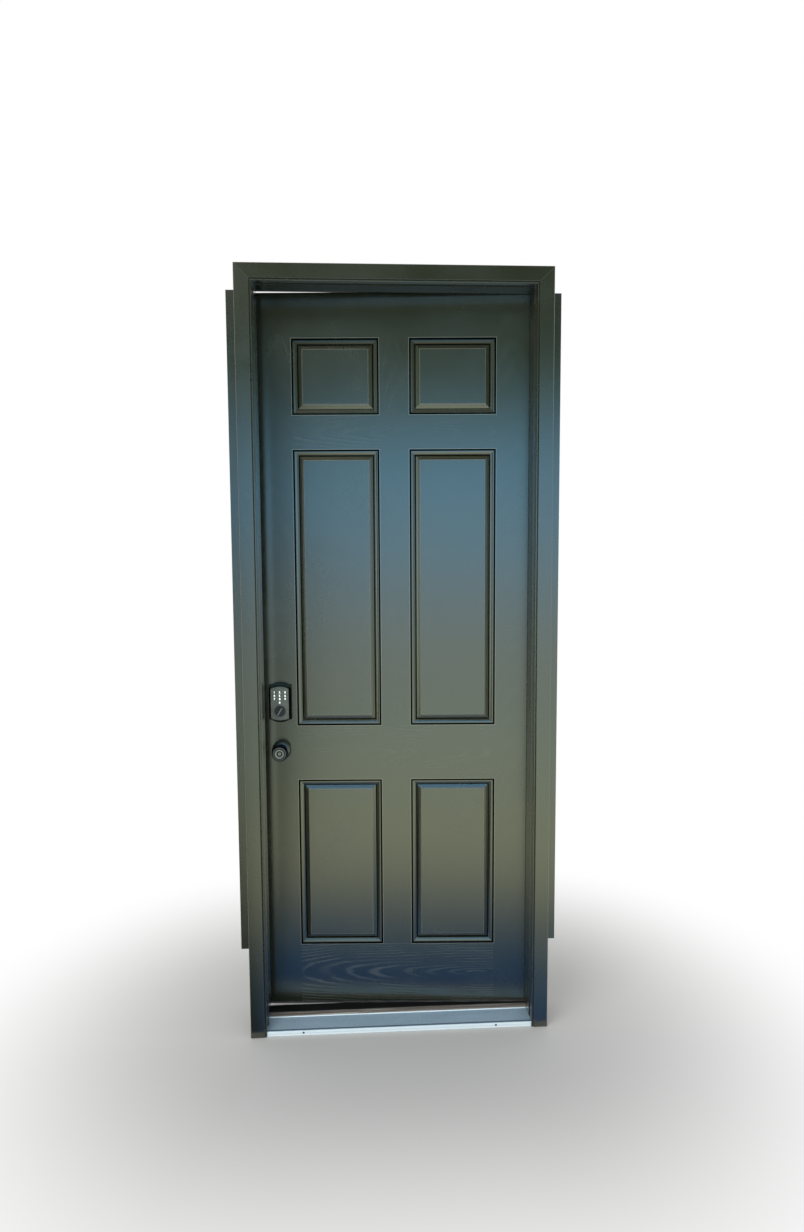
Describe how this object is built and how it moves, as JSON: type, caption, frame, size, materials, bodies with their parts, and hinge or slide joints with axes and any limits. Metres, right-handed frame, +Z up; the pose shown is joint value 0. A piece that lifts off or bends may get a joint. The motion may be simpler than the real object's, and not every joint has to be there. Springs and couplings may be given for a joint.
{
  "type": "panelled front door in its frame",
  "caption": "Dark panelled entry door hung ajar in its frame, with moulded grained skins, casing, metal sill, hinges, round knob with latch, and a keypad lock above it.",
  "frame": {"origin": "middle of the sill's underside across the width, in the plane of the jambs' street edge", "axes": "+Z up, -Y out to the street, +Y into the room, +X to the right seen from the street, towards the hinges"},
  "size_m": [1.0608, 0.2509, 2.5141],
  "materials": {
    "leaf_paint": "near-black satin paint over wood-grained fibreglass skins",
    "frame_paint": "near-black satin paint on wood",
    "board_paint": "near-black satin paint on wood boards",
    "edge_wood": "painted edge, plain wood inside",
    "core_foam": "foam, hidden",
    "sill_aluminium": "mill finish, weathered and speckled",
    "sill_composite": "wood and plastic composite",
    "cap_composite": "weathered brown-grey composite",
    "seal_foam": "dark skinned foam seal",
    "sweep_vinyl": "grey-brown flexible vinyl",
    "bronze": "dark oil-rubbed bronze",
    "steel": "plain zinc-plated steel",
    "keypad_front": "smoked glossy touch panel",
    "plug_metal": "worn satin metal"
  },
  "bodies": {
    "frame": {"lock_jamb": "frame_paint", "hinge_jamb": "frame_paint", "head_jamb": "frame_paint", "lock_casing": "frame_paint", "hinge_casing": "frame_paint", "head_casing": "frame_paint", "lock_side_board": "board_paint", "hinge_side_board": "board_paint", "sill_core": "sill_composite", "sill_deck": "sill_aluminium", "sill_cap": "cap_composite", "sill_cap_screws": "steel", "sill_nose_screws": "steel", "lock_side_seal": "seal_foam", "hinge_side_seal": "seal_foam", "head_seal": "seal_foam", "latch_strike": "bronze", "deadbolt_strike": "bronze", "strike_screws": "bronze", "jamb_hinge_half_1": "bronze", "jamb_hinge_half_2": "bronze", "jamb_hinge_half_3": "bronze", "jamb_hinge_half_4": "bronze", "hinge_pins": "bronze", "jamb_hinge_screws": "bronze"},
    "leaf": {"exterior_skin": "leaf_paint", "interior_skin": "leaf_paint", "lock_stile": "edge_wood", "hinge_stile": "edge_wood", "top_rail": "edge_wood", "bottom_rail": "edge_wood", "lock_block": "edge_wood", "foam_core": "core_foam", "door_sweep": "sweep_vinyl", "door_hinge_half_1": "bronze", "door_hinge_half_2": "bronze", "door_hinge_half_3": "bronze", "door_hinge_half_4": "bronze", "door_hinge_screws": "bronze", "latch_case": "steel", "deadbolt_case": "steel", "faceplate_screws": "steel", "outside_rose": "bronze", "inside_rose": "bronze", "keypad_housing": "bronze", "keypad_panel": "keypad_front", "inside_lock_plate": "steel", "inside_lock_cover": "bronze", "lock_mounting_screws": "steel"},
    "knobs": {"outside_knob": "bronze", "inside_knob": "bronze", "knob_spindle": "steel"},
    "key_plug": {"key_plug": "plug_metal"},
    "lock_button": {"lock_button": "plug_metal"},
    "latch": {"latch_bolt": "steel"},
    "bolt_drive": {"thumb_turn": "bronze", "outside_turn": "bronze", "tailpiece": "steel"},
    "deadbolt": {"deadbolt": "steel"}
  },
  "joints": [
    {"name": "door_swing", "type": "hinge", "parent": "frame", "child": "leaf", "pos_m": [0.45548, 0.12285, 1.25], "axis": [0, 0, -1], "range_deg": [-3, 105]},
    {"name": "knob_turn", "type": "hinge", "parent": "leaf", "child": "knobs", "pos_m": [-0.39409, 0.13773, 0.942], "axis": [0.0523, 0.9986, 0], "range_deg": [0, 60], "stiffness_Nm_per_rad": 0.4},
    {"name": "latch_draw", "type": "slide", "parent": "leaf", "child": "latch", "axis": [0.9986, -0.0523, 0], "range_m": [0, 0.0127]},
    {"name": "key_plug_turn", "type": "hinge", "parent": "knobs", "child": "key_plug", "pos_m": [-0.39409, 0.13773, 0.942], "axis": [0.0523, 0.9986, 0], "range_deg": [0, 90]},
    {"name": "lock_button_turn", "type": "hinge", "parent": "knobs", "child": "lock_button", "pos_m": [-0.39409, 0.13773, 0.942], "axis": [0.0523, 0.9986, 0], "range_deg": [0, 90]},
    {"name": "thumb_turn_turn", "type": "hinge", "parent": "leaf", "child": "bolt_drive", "pos_m": [-0.39409, 0.13773, 1.0817], "axis": [0.0523, 0.9986, 0], "range_deg": [0, 90]},
    {"name": "deadbolt_throw", "type": "slide", "parent": "leaf", "child": "deadbolt", "axis": [-0.9986, 0.0523, 0], "range_m": [0, 0.0254]}
  ],
  "couplings": [
    {"joint": "latch_draw", "follows": "knob_turn", "m_per_rad": 0.012127},
    {"joint": "deadbolt_throw", "follows": "thumb_turn_turn", "m_per_rad": 0.01617}
  ]
}
